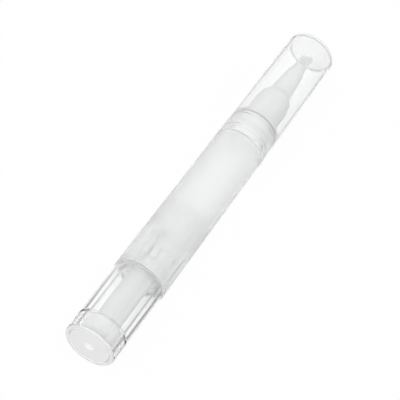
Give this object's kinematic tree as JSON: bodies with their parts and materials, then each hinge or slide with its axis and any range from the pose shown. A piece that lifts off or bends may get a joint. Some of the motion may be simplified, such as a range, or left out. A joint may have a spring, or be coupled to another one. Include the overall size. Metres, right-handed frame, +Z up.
{
  "type": "nail oil pen",
  "caption": "Slim clear twist-up nail oil pen: a turning knob winds a piston along an oil chamber to a brush under a push-on cap.",
  "frame": {"origin": "under the middle of the pen's length, on the surface that it lies on, straight below its axis", "axes": "+X along the pen's axis from the turning knob to the closed end of the cap, +Z up"},
  "size_m": [0.126, 0.016, 0.016],
  "materials": {
    "clear_as": "clear moulded, polished",
    "white_pp": "milky moulded, satin",
    "white_pom": "opaque white moulded",
    "white_pe": "milky moulded, waxy",
    "pale_pe": "pale translucent moulded",
    "nylon": "fine white bristles"
  },
  "bodies": {
    "barrel": {"barrel": "clear_as", "ratchet_ring": "clear_as", "drive_nut": "white_pp", "nozzle_plug": "pale_pe", "nozzle": "white_pp", "brush_retainer": "white_pp", "feed_tube": "pale_pe", "brush_bristles": "nylon"},
    "knob": {"knob": "clear_as", "drive_sleeve": "white_pp", "click_collar": "white_pom"},
    "screw": {"lead_screw": "white_pom"},
    "piston": {"piston_core": "white_pp", "piston_cup": "white_pe"},
    "cap": {"cap": "clear_as"}
  },
  "joints": [
    {"name": "knob_turn", "type": "hinge", "parent": "barrel", "child": "knob", "pos_m": [-0.05045, 0, 0.008], "axis": [1, 0, 0], "range_deg": [0, 3240]},
    {"name": "screw_advance", "type": "slide", "parent": "knob", "child": "screw", "axis": [1, 0, 0], "range_m": [0, 0.02705]},
    {"name": "piston_advance", "type": "slide", "parent": "barrel", "child": "piston", "axis": [1, 0, 0], "range_m": [0, 0.02705]},
    {"name": "cap_pull", "type": "slide", "parent": "barrel", "child": "cap", "axis": [1, 0, 0], "range_m": [0, 0.048]}
  ],
  "couplings": [
    {"joint": "screw_advance", "follows": "knob_turn", "m_per_rad": 0.00047746},
    {"joint": "piston_advance", "follows": "knob_turn", "m_per_rad": 0.00047746}
  ]
}
